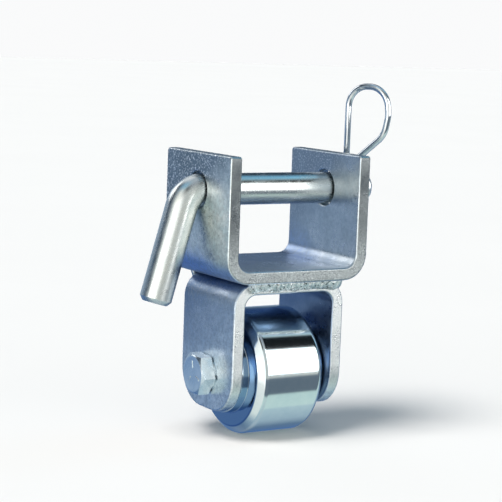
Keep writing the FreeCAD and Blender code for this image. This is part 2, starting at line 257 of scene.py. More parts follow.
def zinc(name, deep, light, zone, painted_shade_colour, speckle, shear, inner_shade, inner):
    """Bright zinc plate: blue to silver clouds, fine spangle, grey grainy shear faces, pale edges.

    zone, speckle and inner_shade give the amounts, over the plate, of a painted shade colour (a
    painted reflection or shadow), of sparkling spangle and of the painted shade on the inner faces.
    """
    make = Finish(name)
    clouds = make.span(make.noise(58.0, 6.0, 0.66), 0.38, 0.62)
    spangle = make.noise(1000.0, 2.0, 0.7)
    grain = make.noise(420.0, 5.0, 0.8)
    colour = make.blend(clouds, deep, light)
    # painted shade: the saddle's painted blue reflection near the bend, the fork's painted shadow
    # under the weld
    colour = make.blend(zone(make), colour, painted_shade_colour)
    pits = tuple(c * 0.45 for c in deep)
    colour = make.blend(make.span(grain, 0.40, 0.60, 0.55, 0.0), colour, pits)
    sparkling = speckle(make)
    colour = make.blend(make.math("MULTIPLY", sparkling, 0.85), colour, (0.17, 0.23, 0.29))
    flecks = make.span(spangle, 0.55, 0.61)
    colour = make.blend(make.math("MULTIPLY", flecks, sparkling), colour, (1.0, 1.0, 1.0))
    scuffs = make.span(make.noise(52.0, 6.0, 0.78, (1.0, 5.0, 0.6)), 0.60, 0.72, 0.0, 0.45)
    colour = make.blend(scuffs, colour, (0.84, 0.90, 0.92))
    # painted shade on the faces that look in between the ears
    colour = make.blend(inner_shade(make), colour, inner)

    # the sheared faces look along the receiver; up the saddle's ears they get painted shade, for
    # the shadow and reflection of the black receiver collar, which is not modelled
    sheared = make.span(make.facing("Y"), 0.80, 0.95)
    coarse = make.noise(1500.0, 3.0, 0.75)
    grey = make.blend(make.span(coarse, 0.34, 0.66), *shear)
    upper_painted_shade = make.span(make.axes()[2], 2 * MM, 22 * MM, 0.0, 0.85)
    grey = make.blend(upper_painted_shade, grey, (0.05, 0.06, 0.07))
    dull = make.span(make.noise(90.0, 4.0, 0.6), 0.35, 0.65, 0.0, 0.4)
    grey = make.blend(dull, grey, tuple((a + b) / 2.6 for a, b in zip(*shear)))
    colour = make.blend(sheared, colour, grey)
    wear = make.worn_edges(1.1 * MM)
    colour = make.brighten(colour, wear, PALE_EDGE)

    matt = make.span(clouds, 0.0, 1.0, 0.44, 0.24)
    matt = make.math("ADD", matt, make.span(grain, 0.35, 0.65, -0.06, 0.08))
    matt = make.math("SUBTRACT", matt, make.span(wear, 0.0, 1.0, 0.0, 0.12))
    make.raise_by(make.math("MULTIPLY", coarse, sheared), 0.6, 0.25 * MM)
    make.raise_by(spangle, 0.45, 0.08 * MM)
    make.raise_by(make.noise(120.0, 3.0), 0.25, 0.15 * MM)
    return make.finish(colour, matt)


def ramp_up(make, value, low, high, sway):
    """0 below and 1 above, with a wavering border."""
    waver = make.span(make.noise(50.0, 3.0), 0.2, 0.8, -sway, sway)
    return make.span(make.math("ADD", value, waver), low, high)


def height_and_depth(make, share):
    """Height plus a share of the distance along the receiver, for slanting borders."""
    _, along, up = make.axes()
    return make.math("ADD", up, make.math("MULTIPLY", along, share))


def saddle_painted_reflection(make):
    """Painted reflection: deeper blue near the bend, fading up the ear."""
    height = height_and_depth(make, -0.3)
    return make.math("SUBTRACT", 0.92, ramp_up(make, height, -3 * MM, 13 * MM, 6 * MM))


def saddle_speckle(make):
    """Sparkling spangle toward the top rear corner of the ears."""
    return ramp_up(make, height_and_depth(make, 0.7), 24 * MM, 47 * MM, 9 * MM)


def fork_painted_shadow(make):
    """Painted shadow: darker blue under the weld at the rear, in the saddle's shade, paler toward
    the rounded ends.
    """
    corner = height_and_depth(make, 0.55)
    return make.math("MULTIPLY", ramp_up(make, corner, -46 * MM, -2 * MM, 10 * MM), 0.9)


def fork_speckle(make):
    """A trace of spangle, fading toward the rounded ends."""
    height = make.axes()[2]
    return make.math("MULTIPLY", ramp_up(make, height, -60 * MM, -20 * MM, 12 * MM), 0.22)


def between(reach, most):
    """The faces that look in between the ears take a painted shade colour, for the shadow between
    the ears.
    """

    def amount(make):
        across = make.math("ABSOLUTE", make.axes()[0])
        return make.math("MULTIPLY", make.span(across, reach + 0.3 * MM, reach), most)

    return amount


def weld_finish():
    """Plated weld metal: bright lumps with dark pits."""
    make = Finish("weld_metal")
    lumps = make.noise(380.0, 5.0, 0.7)
    pits = make.noise(620.0, 3.0, 0.65)
    colour = make.blend(make.span(lumps, 0.38, 0.62), (0.58, 0.68, 0.70), (1.0, 1.0, 0.99))
    colour = make.blend(make.span(lumps, 0.60, 0.68, 0.0, 0.9), colour, (0.97, 0.99, 0.98))
    colour = make.blend(make.span(pits, 0.44, 0.37, 0.0, 0.95), colour, (0.05, 0.07, 0.08))
    make.raise_by(lumps, 0.9, 0.6 * MM)
    make.raise_by(pits, 0.8, 0.4 * MM)
    return make.finish(colour, make.span(lumps, 0.3, 0.7, 0.38, 0.20))


def turned(name, colour, shade, roughness, edge=(0.95, 0.97, 0.97), side=None):
    """Steel turned about X: fine rings from the tool, a few wiped marks, bright edges, and, if side
    is given, a painted shade colour on the side faces.
    """
    make = Finish(name)
    across, along, up = make.axes()
    level = make.math("SUBTRACT", up, AXLE_Z)
    squares = make.math("MULTIPLY", along, along), make.math("MULTIPLY", level, level)
    join = make.add("ShaderNodeCombineXYZ")
    make.feed(join.inputs["X"], across)
    make.feed(join.inputs["Y"], make.math("SQRT", make.math("ADD", *squares)))
    rings = make.noise(1700.0, 2.0, 0.5, place=join.outputs["Vector"])
    wiped = make.noise(70.0, 5.0, 0.65)
    base = make.blend(make.span(wiped, 0.3, 0.75), colour, shade)
    base = make.blend(make.span(rings, 0.3, 0.7, 0.0, 0.18), base, shade)
    if side:
        # painted shade: the side faces, in the narrow gaps by the ears, darkened toward blue
        base = make.blend(make.span(make.facing("X"), 0.80, 0.95), base, side)
    base = make.brighten(base, make.worn_edges(0.6 * MM), edge)
    matt = make.math(
        "ADD",
        make.span(rings, 0.3, 0.7, roughness * 0.7, roughness * 1.3),
        make.span(wiped, 0.55, 0.8, 0.0, roughness * 0.4),
    )
    make.raise_by(rings, 0.12, 0.01 * MM)
    return make.finish(base, matt)


def plated(name, colour, shade, roughness):
    """Small zinc-plated hardware: soft clouding, fine grain, bright corners."""
    make = Finish(name)
    cloud = make.noise(160.0, 4.0, 0.6)
    grain = make.noise(1400.0, 3.0, 0.7)
    base = make.blend(make.span(cloud, 0.35, 0.65), colour, shade)
    base = make.blend(make.span(grain, 0.58, 0.70, 0.0, 0.5), base, shade)
    base = make.brighten(base, make.worn_edges(0.45 * MM), (0.98, 0.99, 0.99))
    matt = make.math(
        "ADD",
        make.span(grain, 0.3, 0.7, roughness * 0.8, roughness * 1.2),
        make.span(cloud, 0.4, 0.7, 0.0, 0.06),
    )
    make.raise_by(grain, 0.2, 0.03 * MM)
    return make.finish(base, matt)


def polished(name, colour, shade, roughness, along_stretch):
    """Drawn and plated bar or wire: faint draw lines along it, small dull spots."""
    make = Finish(name)
    lines = make.noise(900.0, 3.0, 0.6, along_stretch)
    spots = make.noise(300.0, 4.0, 0.7)
    base = make.blend(make.span(lines, 0.3, 0.7), colour, shade)
    base = make.blend(make.span(spots, 0.62, 0.72, 0.0, 0.5), base, shade)
    base = make.brighten(base, make.worn_edges(0.5 * MM), (0.96, 0.97, 0.96))
    matt = make.math(
        "ADD",
        make.span(lines, 0.3, 0.7, roughness * 0.75, roughness * 1.25),
        make.span(spots, 0.55, 0.75, 0.0, 0.12),
    )
    make.raise_by(lines, 0.15, 0.02 * MM)
    make.raise_by(make.noise(110.0, 3.0), 0.08, 0.1 * MM)
    return make.finish(base, matt)


def nylon():
    """Faintly clouded blue nylon."""
    make = Finish("nylon_ring", metallic=0.0)
    cloud = make.noise(350.0, 3.0)
    colour = make.blend(make.span(cloud, 0.3, 0.7), (0.16, 0.30, 0.55), (0.24, 0.40, 0.66))
    colour = make.brighten(colour, make.worn_edges(0.3 * MM), (0.55, 0.66, 0.80), most=0.6)
    make.shader.inputs["Subsurface Weight"].default_value = 0.1
    make.raise_by(cloud, 0.3, 0.05 * MM)
    return make.finish(colour, make.span(cloud, 0.3, 0.7, 0.38, 0.52))


# ---------------------------------------------------------------- bent plates


def ear_ring(start, stop, depth, corner, rows):
    """Outline of an ear's flat zone, from the joint with the bend round the tip and back."""
    arc = 9
    points = [(start, y) for y in rows]
    side = [start + (stop - corner - start) * k / 8 for k in range(1, 9)]
    points += [(u, depth) for u in side]
    points += [
        (stop - corner + corner * math.sin(a), depth - corner + corner * math.cos(a))
        for a in (math.pi / 2 * k / arc for k in range(1, arc + 1))
    ]
    tip = [depth - corner - 2 * (depth - corner) * k / 12 for k in range(1, 12)]
    points += [(stop, y) for y in tip]
    points += [
        (stop - corner + corner * math.cos(a), -depth + corner - corner * math.sin(a))
        for a in (math.pi / 2 * k / arc for k in range(0, arc + 1))
    ]
    points += [(u, -depth) for u in reversed(side[:-1])]
    return points


def bent_plate(node, opening_up, hole_z, hole_radius, corner):
    """A U of bent plate, laid out flat as quads, then bent and given its thickness."""
    low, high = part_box(node)
    half, depth = high.x - PLATE, high.y
    web_z = low.z + PLATE if opening_up else high.z - PLATE
    tip_z = high.z if opening_up else low.z
    up = 1 if opening_up else -1
    web = half - BEND_INNER
    arc = BEND_INNER * math.pi / 2
    flat = web + arc
    hole = flat + abs(hole_z - web_z) - BEND_INNER
    tip = flat + abs(tip_z - web_z) - BEND_INNER
    join = flat + 2 * MM

    def bend(u, y, below):
        side, reach = math.copysign(1.0, u), abs(u)
        if reach <= web:
            x, lift = reach, -below
        elif reach <= flat:
            turn = (reach - web) / BEND_INNER
            x = web + (BEND_INNER + below) * math.sin(turn)
            lift = BEND_INNER - (BEND_INNER + below) * math.cos(turn)
        else:
            x, lift = half + below, BEND_INNER + reach - flat
        return side * x, y, web_z + up * lift

    rows = [-depth + 2 * depth * k / 14 for k in range(15)]
    columns = [web * k / 8 for k in range(9)]
    columns += [web + arc * k / 10 for k in range(1, 11)] + [join]
    columns = [-u for u in reversed(columns[1:])] + columns
    quads = []
    for u0, u1 in zip(columns, columns[1:]):
        for y0, y1 in zip(rows, rows[1:]):
            quads.append([(u0, y0), (u1, y0), (u1, y1), (u0, y1)])
    outline = ear_ring(join, tip, depth, corner, rows)
    shells = 6
    for side in (1, -1):
        rings = []
        for k in range(shells + 1):
            share = (k / shells) ** 1.25
            ring = []
            for u, y in outline:
                reach = math.hypot(u - hole, y)
                rim_u, rim_y = hole + (u - hole) / reach * hole_radius, y / reach * hole_radius
                ring.append((side * (rim_u + (u - rim_u) * share), rim_y + (y - rim_y) * share))
            rings.append(ring)
        for ring, wider in zip(rings, rings[1:]):
            for k in range(len(ring)):
                n = (k + 1) % len(ring)
                quads.append([ring[k], ring[n], wider[n], wider[k]])

    skin = bmesh.new()
    made = {}

    def vert(point, below):
        key = (round(point[0], 7), round(point[1], 7), below)
        if key not in made:
            made[key] = skin.verts.new(bend(*point, below))
        return made[key]

    # the borders of the flat pattern, which get the sheared side faces
    borders = {}
    for quad in quads:
        skin.faces.new([vert(point, 0.0) for point in quad])
        skin.faces.new([vert(point, PLATE) for point in reversed(quad)])
        for first, last in zip(quad, quad[1:] + quad[:1]):
            key = frozenset((vert(first, 0.0), vert(last, 0.0)))
            borders[key] = None if key in borders else (first, last)
    for border in borders.values():
        if border:
            first, last = border
            inner = vert(first, 0.0), vert(last, 0.0)
            outer = vert(last, PLATE), vert(first, PLATE)
            skin.faces.new([*inner, *outer])
    return skin


# ---------------------------------------------------------------- turned and hexagonal pieces


def ring_shell(rings, hollow, segments):
    """Skin about the axle's line; a ring is a function of the angle, giving x and radius."""
    skin = bmesh.new()
    rows = []
    for ring in rings:
        row = []
        for k in range(segments):
            angle = 2 * math.pi * k / segments
            x, radius = ring(angle)
            y, z = radius * math.cos(angle), AXLE_Z + radius * math.sin(angle)
            row.append(skin.verts.new((x, y, z)))
        rows.append(row)
    for row, after in zip(rows, rows[1:] + ([rows[0]] if hollow else [])):
        for k in range(segments):
            n = (k + 1) % segments
            skin.faces.new([row[k], row[n], after[n], after[k]])
    if not hollow:
        skin.faces.new(rows[0])
        skin.faces.new(rows[-1])
    return skin


def fixed(x, radius):
    """A plain round ring."""
    return lambda angle: (x, radius)


def eased(corners, size, closed=True):
    """The profile with every corner cut by a short three-point curve."""
    points = []
    last = len(corners) - 1
    for k, corner in enumerate(corners):
        if not closed and k in (0, last):
            points.append(corner)
            continue
        here = Vector(corner)
        before = Vector(corners[k - 1]) - here
        after = Vector(corners[(k + 1) % len(corners)]) - here
        trim = min(size, before.length * 0.4, after.length * 0.4)
        start, stop = here + before.normalized() * trim, here + after.normalized() * trim
        middle = (start + stop) / 4 + here / 2
        points += [tuple(start), tuple(middle), tuple(stop)]
    return points


def lathe(profile, segments=128):
    """Turn a closed profile of x and radius about the axle's line."""
    return ring_shell([fixed(x, radius) for x, radius in profile], True, segments)


def hexagon(turn, x, flat_radius, inward=0):
    """A ring on the hexagon's sides, held back toward the corners by a 30 degree cone."""

    def ring(angle):
        swing = (angle - math.radians(turn)) % (math.pi / 3) - math.pi / 6
        radius = flat_radius / math.cos(swing)
        past_cone = max(0.0, radius - flat_radius * CONE_START)
        return x + inward * past_cone * math.tan(math.radians(30)), radius

    return ring


def sample_turn(turn):
    """Nearest turn that puts the hexagon's corners on the segments."""
    step = 360.0 / HEX_SEGMENTS
    return round(turn / step) * step


def thread(x, start, stop):
    """A ring across a right-hand thread that runs out at both ends."""

    def ring(angle):
        phase = ((x - THREAD_PITCH * angle / (2 * math.pi)) / THREAD_PITCH) % 1.0
        depth = max(0.0, min(1.0, abs(phase - 0.5) * 2.6 - 0.15))
        run_in, run_out = (x - start) / (2 * MM), (stop - x) / (0.6 * MM)
        fade = min(1.0, max(0.0, run_in), max(0.0, run_out))
        return x, BOLT_RADIUS - THREAD_DEPTH * depth * fade

    return ring


def grade_dashes(skin, face_x, flat):
    """Three raised radial dashes on the bolt's head."""
    for k in range(3):
        angle = math.radians(80 + 120 * k)
        out = Vector((0, math.cos(angle), math.sin(angle)))
        side = Vector((0, -math.sin(angle), math.cos(angle)))
        centre = Vector((face_x + 0.3 * MM, 0, AXLE_Z)) + out * flat * 0.5
        for v in bmesh.ops.create_cube(skin, size=1.0)["verts"]:
            x, y, z = v.co
            v.co = centre + Vector((x * 0.6 * MM, 0, 0))
            v.co += out * (y * 3.6 * MM)
            v.co += side * (z * 0.8 * MM)


def bolt_skin():
    """Hexagon head with a washer face, plain shank, thread and a pointed tip."""
    low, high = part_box("axle_bolt")
    seat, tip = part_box("fork_bracket")[0].x, high.x
    flat = HEX_FLATS / 2
    turn = sample_turn(HEAD_TURN)
    start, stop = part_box("lock_nut")[0].x - 6 * MM, tip - 1.2 * MM
    rings = [
        fixed(low.x + 0.25 * MM, flat * 0.30),
        fixed(low.x + 0.25 * MM, flat * 0.74),
        fixed(low.x, flat * 0.82),
        fixed(low.x, flat * CONE_START),
        hexagon(turn, low.x, flat, 1),
        hexagon(turn, seat - 0.9 * MM, flat),
        hexagon(turn, seat - 0.45 * MM, flat * 0.96),
        fixed(seat - 0.45 * MM, flat * 0.95),
        fixed(seat, flat * 0.95),
        fixed(seat, BOLT_RADIUS + 0.5 * MM),
        fixed(seat + 0.5 * MM, BOLT_RADIUS),
        fixed(start, BOLT_RADIUS),
    ]
    count = round((stop - start) / (THREAD_PITCH / 10))
    rings += [thread(start + (stop - start) * k / count, start, stop) for k in range(1, count + 1)]
    rings += [
        fixed(tip - 0.2 * MM, BOLT_RADIUS - 1.1 * MM),
        fixed(tip, BOLT_RADIUS - 1.5 * MM),
        fixed(tip, BOLT_RADIUS - 2.5 * MM),
    ]
    skin = ring_shell(rings, False, HEX_SEGMENTS)
    grade_dashes(skin, low.x, flat)
    return skin


def nut_skin():
    """Hexagon with a round collar, which is rolled over the insert."""
    low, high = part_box("lock_nut")
    insert_low, insert_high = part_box("nut_nylon_insert")
    flat, bore = HEX_FLATS / 2, BOLT_RADIUS + 0.05 * MM
    turn = sample_turn(NUT_TURN)
    insert = insert_high.y
    collar = insert + 0.8 * MM
    shoulder = low.x + NUT_HEX_HEIGHT
    lip = high.x - insert_high.x
    rings = [
        fixed(low.x + 0.7 * MM, bore),
        fixed(low.x, bore + 0.7 * MM),
        fixed(low.x, flat * CONE_START),
        hexagon(turn, low.x, flat, 1),
        hexagon(turn, shoulder, flat, -1),
        fixed(shoulder, flat * CONE_START),
        fixed(shoulder, collar + 0.5 * MM),
        fixed(shoulder + 0.15 * MM, collar + 0.15 * MM),
        fixed(shoulder + 0.6 * MM, collar),
        fixed(high.x - 1.1 * MM, collar),
        fixed(high.x - 0.45 * MM, collar - 0.25 * MM),
        fixed(high.x - 0.05 * MM, collar - 0.8 * MM),
        fixed(high.x, bore + 1.1 * MM),
        fixed(high.x - lip * 0.25, bore + 0.55 * MM),
        fixed(high.x - lip * 0.95, bore + 0.45 * MM),
        fixed(insert_high.x, insert),
        fixed(insert_low.x, insert),
        fixed(insert_low.x, bore),
    ]
    return ring_shell(rings, True, HEX_SEGMENTS)


def half_height(node):
    """Outer radius of a node that is round about the axle's line."""
    low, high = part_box(node)
    return (high.z - low.z) / 2


def roller_skin():
    """Barrel tread with hubs that step in at both ends, bored for the bushings."""
    radius, hub_end = half_height("roller"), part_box("roller")[1].x
    bore = half_height("bushing_left")
    right = [
        (hub_end, bore + 0.3 * MM),
        (hub_end, HUB_RADIUS - 1.0 * MM),
        (hub_end - 1.0 * MM, HUB_RADIUS),
        (RIM_EDGE[0], HUB_RADIUS),
        RIM_EDGE,
        RIM_MID,
        (TREAD_HALF, radius),
    ]
    profile = eased(right, 0.7 * MM, closed=False)
    left = [(-x, r) for x, r in reversed(profile)]
    bore_ends = [(-hub_end + 0.3 * MM, bore), (hub_end - 0.3 * MM, bore)]
    return lathe(profile + left + bore_ends, 192)


def tube_skin(node, outer, wall, ease):
    """A round tube as long as the node's box, with eased edges."""
    low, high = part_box(node)
    inner = outer - wall
    corners = [(low.x, inner), (low.x, outer), (high.x, outer), (high.x, inner)]
    return lathe(eased(corners, ease))


# ---------------------------------------------------------------- bars and wires


def rounded_path(corners, radii, step=0.9 * MM):
    """Points and directions along a line whose corners are rounded."""
    path = []
    corners = [Vector(corner) for corner in corners]
    path.append((corners[0], (corners[1] - corners[0]).normalized()))
    for k, radius in enumerate(radii, start=1):
        before = (corners[k] - corners[k - 1]).normalized()
        after = (corners[k + 1] - corners[k]).normalized()
        turn = before.angle(after)
        trim = radius * math.tan(turn / 2)
        start = corners[k] - before * trim
        pole = before.cross(after).normalized()
        centre = start + pole.cross(before) * radius
        count = max(3, math.ceil(radius * turn / step))
        for n in range(count + 1):
            spin = Matrix.Rotation(turn * n / count, 3, pole)
            path.append((centre + spin @ (start - centre), spin @ before))
    path.append((corners[-1], (corners[-1] - corners[-2]).normalized()))
    return path


def bar_skin(path, flat, radius, segments, ends):
    """Sweep a circle along a flat path; each end has a list of (inset, radius) for its edge."""
    first, last = ends
    rings = []
    start, heading = path[0]
    for inset, size in first:
        rings.append((start + heading * inset, heading, size))
    for place, heading in path[1:-1]:
        rings.append((place, heading, radius))
    stop, heading = path[-1]
    for inset, size in reversed(last):
        rings.append((stop - heading * inset, heading, size))
    skin = bmesh.new()
    rows = []
    for place, heading, size in rings:
        side = flat.cross(heading).normalized()
        rows.append([
            skin.verts.new(place + (flat * math.cos(a) + side * math.sin(a)) * size)
            for a in (2 * math.pi * k / segments for k in range(segments))
        ])
    for row, after in zip(rows, rows[1:]):
        for k in range(segments):
            n = (k + 1) % segments
            skin.faces.new([row[k], row[n], after[n], after[k]])
    skin.faces.new(rows[0])
    skin.faces.new(rows[-1])
    return skin


def edge_turn(size, radius):
    """A flat end and a chamfer with softened corners."""
    return [
        (0.0, radius - size - 0.6 * MM),
        (0.0, radius - size),
        (0.12 * MM, radius - size + 0.25 * MM),
        (size - 0.1 * MM, radius - 0.25 * MM),
        (size + 0.25 * MM, radius),
    ]


def pin_skin():
    """A straight shank through the saddle, bent down into the handle."""
    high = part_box("hitch_pin")[1]
    radius = high.y
    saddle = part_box("saddle_bracket")[0].x
    lean = math.radians(HITCH_LEAN)
    corner = saddle - HITCH_BEND * math.tan((math.pi / 2 - lean) / 2) + 2.5 * MM
    corners = [
        (high.x, 0, PIN_HEIGHT),
        (corner, 0, PIN_HEIGHT),
        (corner - HANDLE_DROP * math.tan(lean), 0, PIN_HEIGHT - HANDLE_DROP),
    ]
    path = rounded_path(corners, [HITCH_BEND])
    ends = (edge_turn(1.6 * MM, radius), edge_turn(2.0 * MM, radius))
    return bar_skin(path, Vector((0, 1, 0)), radius, 96, ends)


def drill(piece, x, radius):
    """Cut the clip's hole through the pin and keep the result as the piece's own mesh."""
    cutter_skin = bmesh.new()
    bmesh.ops.create_cone(
        cutter_skin, cap_ends=True, segments=48, radius1=radius, radius2=radius, depth=40 * MM
    )
    bmesh.ops.translate(cutter_skin, verts=cutter_skin.verts, vec=(x, 0, PIN_HEIGHT))
    cutter_mesh = bpy.data.meshes.new("cutter")
    cutter_skin.to_mesh(cutter_mesh)
    cutter_skin.free()
    cutter = bpy.data.objects.new("cutter", cutter_mesh)
    bpy.context.scene.collection.objects.link(cutter)
    cut = piece.modifiers.new("hole", "BOOLEAN")
    cut.operation, cut.solver, cut.object = "DIFFERENCE", "EXACT", cutter
    graph = bpy.context.evaluated_depsgraph_get()
    mesh = bpy.data.meshes.new_from_object(piece.evaluated_get(graph))
    piece.modifiers.remove(cut)
    piece.data = mesh
    bpy.data.objects.remove(cutter)


def clip_skin():
    """A straight leg through the pin, a loop above it, and a wavy leg that grips the pin's side."""
    leg_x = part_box("spring_clip")[0].x + WIRE
    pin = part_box("hitch_pin")[1].y
    turn = math.radians(-CLIP_TURN)
    out = Vector((math.cos(turn), math.sin(turn), 0))
    loop, bend, top = 10.9 * MM, 4.0 * MM, 52.2 * MM
    # reach from the straight leg, and height over the middle of the pin
    line = [
        (0, -30 * MM),
        (0, top),
        (loop * 2.03, top),
        (23.9 * MM, 38.2 * MM),
        (21.8 * MM, 28 * MM),
        (6.4 * MM, pin + 7.06 * MM),
        (pin + WIRE + 2.26 * MM, 0),
        (5.6 * MM, -pin - 5.56 * MM),
        (11.5 * MM, -pin - 16.06 * MM),
    ]
    middle, up = Vector((leg_x, 0, PIN_HEIGHT)), Vector((0, 0, 1))
    corners = [middle + out * reach + up * height for reach, height in line]
    path = rounded_path(corners, [loop, loop, 14 * MM, 12 * MM, bend, bend * 1.6, bend], 0.7 * MM)
    end = [
        (0.0, WIRE - 0.7 * MM),
        (0.0, WIRE - 0.45 * MM),
        (0.1 * MM, WIRE - 0.2 * MM),
        (0.35 * MM, WIRE),
    ]
    return bar_skin(path, out.cross(up), WIRE, 32, (end, end))


# ---------------------------------------------------------------- weld beads


def weld_skin(node, side, seed):
    """A lumpy fillet bead: ripples along it, uneven toes, a heavier blob at each end."""
    low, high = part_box(node)
    face = low.y if side > 0 else high.y
    reach, length = high.y - low.y, high.x - low.x
    stations, across = 190, 16
    skin = bmesh.new()
    rows = []
    for k in range(stations + 1):
        share = k / stations
        x = low.x + length * share
        from_end = min(share, 1 - share) * length
        taper = math.sqrt(max(0.0, 1 - max(0.0, 1 - from_end / (2.6 * MM)) ** 2))
        wander = 0.35 * noise.noise(Vector((x * 140, seed, 0)))
        ripple = 0.5 + 0.5 * math.cos(2 * math.pi * (x / (2.3 * MM) + wander))
        blob = math.exp(-((from_end - 3 * MM) / (2.2 * MM)) ** 2)
        uneven = 0.12 * noise.noise(Vector((x * 190, seed + 3, 0)))
        body = 0.80 + 0.10 * ripple + 0.12 * blob + uneven
        row = [skin.verts.new((x, face - side * 0.3 * MM, high.z + 0.25 * MM))]
        for n in range(across + 1):
            angle = math.pi / 2 * n / across
            rough = 0.10 * noise.noise(Vector((x * 520, n * 0.75, seed + 7)))
            rough += 0.05 * noise.noise(Vector((x * 1500, n * 1.6, seed + 11)))
            crown = 0.80 + 0.10 * math.sin(2 * angle)
            size = reach * max(0.06, taper * min(1.0, (body + rough) * crown * 1.12))
            # a superellipse between the toes: flatter than a quarter circle
            c, s = math.cos(angle), math.sin(angle)
            shape = (c ** 1.35 + s ** 1.35) ** (-1 / 1.35)
            y, z = face + side * size * shape * c, high.z - size * shape * s
            row.append(skin.verts.new((x, y, z)))
        row.append(skin.verts.new((x, face - side * 0.3 * MM, high.z - reach * 0.05)))
        rows.append(row)
    count = len(rows[0])
    for row, after in zip(rows, rows[1:]):
        for k in range(count):
            n = (k + 1) % count
            skin.faces.new([row[k], row[n], after[n], after[k]])
    skin.faces.new(rows[0])
    skin.faces.new(rows[-1])
    return skin


# ---------------------------------------------------------------- the pieces

ZINC_SADDLE = zinc(
    "zinc_saddle",
    deep=(0.80, 0.90, 0.90), light=(1.0, 1.0, 0.98),
    zone=saddle_painted_reflection, painted_shade_colour=(0.36, 0.52, 0.90),
    speckle=saddle_speckle,
    # the saddle's shear colours, darker than the fork's, are partly painted shade from the receiver
    # collar
    shear=((0.20, 0.22, 0.23), (0.62, 0.66, 0.66)),
    # inner: painted shade colour of the faces between the saddle's ears
    inner_shade=between(34.3 * MM, 0.5), inner=(0.40, 0.47, 0.56),
)
ZINC_FORK = zinc(
    "zinc_fork",
    deep=(0.74, 0.85, 0.94), light=(0.98, 1.0, 1.0),
    zone=fork_painted_shadow, painted_shade_colour=(0.14, 0.25, 0.46),
    speckle=fork_speckle,
    shear=((0.66, 0.70, 0.70), (1.0, 1.0, 0.99)),
    # inner: painted shade colour of the faces between the fork's ears
    inner_shade=between(25.7 * MM, 0.75), inner=(0.17, 0.26, 0.42),
)
WELD = weld_finish()

saddle = to_piece(
    "saddle_plate", bent_plate("saddle_bracket", True, PIN_HEIGHT, PIN_HOLE, SADDLE_CORNER),
    "bracket", "saddle_zinc", ZINC_SADDLE, "saddle_bracket",
)
round_edges(saddle, SADDLE_EDGE)
fork = to_piece(
    "fork_plate", bent_plate("fork_bracket", False, AXLE_Z, BOLT_HOLE, FORK_CORNER),
    "bracket", "fork_zinc", ZINC_FORK, "fork_bracket",
)
round_edges(fork, FORK_EDGE)
for name, node, side, seed in (
    ("weld_bead_front", "front_weld", -1, 2.0),
    ("weld_bead_rear", "rear_weld", 1, 9.0),
):
    to_piece(name, weld_skin(node, side, seed), "bracket", "weld_zinc", WELD, node)

# side is the roller's painted shade colour on its side faces, in the gaps by the fork's ears
ROLLER_STEEL = turned(
    "roller_polish", (0.80, 0.86, 0.88), (0.66, 0.76, 0.82), 0.10, side=(0.22, 0.36, 0.56)
)
BRONZE = turned(
    "bushing_bronze", (0.62, 0.42, 0.20), (0.40, 0.25, 0.11), 0.34, edge=(0.80, 0.62, 0.36)
)
SLEEVE = turned("sleeve_ground", (0.62, 0.63, 0.64), (0.45, 0.46, 0.48), 0.26)
BOLT_ZINC = plated("bolt_zinc_plate", (0.90, 0.97, 1.0), (0.70, 0.82, 0.90), 0.22)
NUT_ZINC = plated("nut_zinc_plate", (0.82, 0.88, 0.92), (0.58, 0.66, 0.74), 0.28)

crisp(to_piece("roller_wheel", roller_skin(), "roller", "roller_steel", ROLLER_STEEL, "roller"))
for node in ("bushing_left", "bushing_right"):
    skin = tube_skin(node, half_height(node), BUSHING_WALL, 0.3 * MM)
    crisp(to_piece(f"{node}_shell", skin, "roller", "bushing_bronze", BRONZE, node))
skin = tube_skin("axle_sleeve", half_height("axle_sleeve"), SLEEVE_WALL, 0.35 * MM)
crisp(to_piece("sleeve_tube", skin, "bracket", "sleeve_steel", SLEEVE, "axle_sleeve"))
bolt = to_piece("bolt_and_head", bolt_skin(), "bracket", "bolt_zinc", BOLT_ZINC, "axle_bolt")
crisp(bolt, 24)
nut = to_piece("nut_with_collar", nut_skin(), "bracket", "nut_zinc", NUT_ZINC, "lock_nut")
crisp(nut, 24)
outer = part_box("nut_nylon_insert")[1].y
skin = tube_skin("nut_nylon_insert", outer, outer - BOLT_RADIUS, 0.35 * MM)
crisp(to_piece("nylon_collar_ring", skin, "bracket", "nylon", nylon(), "nut_nylon_insert"))

PIN_STEEL = polished(
    "pin_polish", (0.80, 0.82, 0.80), (0.68, 0.72, 0.72), 0.27, (0.05, 1.0, 0.2)
)
CLIP_STEEL = polished(
    "clip_polish", (0.84, 0.86, 0.87), (0.62, 0.66, 0.70), 0.12, (1.0, 1.0, 0.08)
)
pin = to_piece("pin_and_handle", pin_skin(), "hitch_pin", "pin_steel", PIN_STEEL, "hitch_pin")
drill(pin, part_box("spring_clip")[0].x + WIRE, CLIP_HOLE)
crisp(pin, 28, flatten=False)
clip = to_piece(
    "clip_wire_form", clip_skin(), "spring_clip", "clip_wire", CLIP_STEEL, "spring_clip"
)
crisp(clip, 40, flatten=False)

# ---------------------------------------------------------------- studio

FLOOR_SIZE = 9.0
CAMERA_PLACE = Vector((-453.2, -726.5, 114.2)) * MM
CAMERA_YAW, CAMERA_PITCH, CAMERA_ROLL = -31.49, 7.26, 2.16
CAMERA_LENS = 122.8


def make_floor():
    """Pale ground under the lowest point, left out of the metal's mirrors."""
    skin = bmesh.new()
    bmesh.ops.create_grid(skin, x_segments=8, y_segments=8, size=FLOOR_SIZE)
    mesh = bpy.data.meshes.new("floor")
    skin.to_mesh(mesh)
    skin.free()
    floor = bpy.data.objects.new("floor", mesh)
    floor.location.z = CAD_BOX[0].z - 0.1 * MM
    bpy.context.scene.collection.objects.link(floor)
    make = Finish("pale_floor", metallic=0.0)
    make.shader.inputs["Specular IOR Level"].default_value = 0.0
    tone = make.span(make.noise(3.0, 2.0), 0.3, 0.7)
    colour = make.blend(tone, (0.82, 0.80, 0.785), (0.83, 0.81, 0.795))
    mesh.materials.append(make.finish(colour, 0.75))
    floor.visible_glossy = False


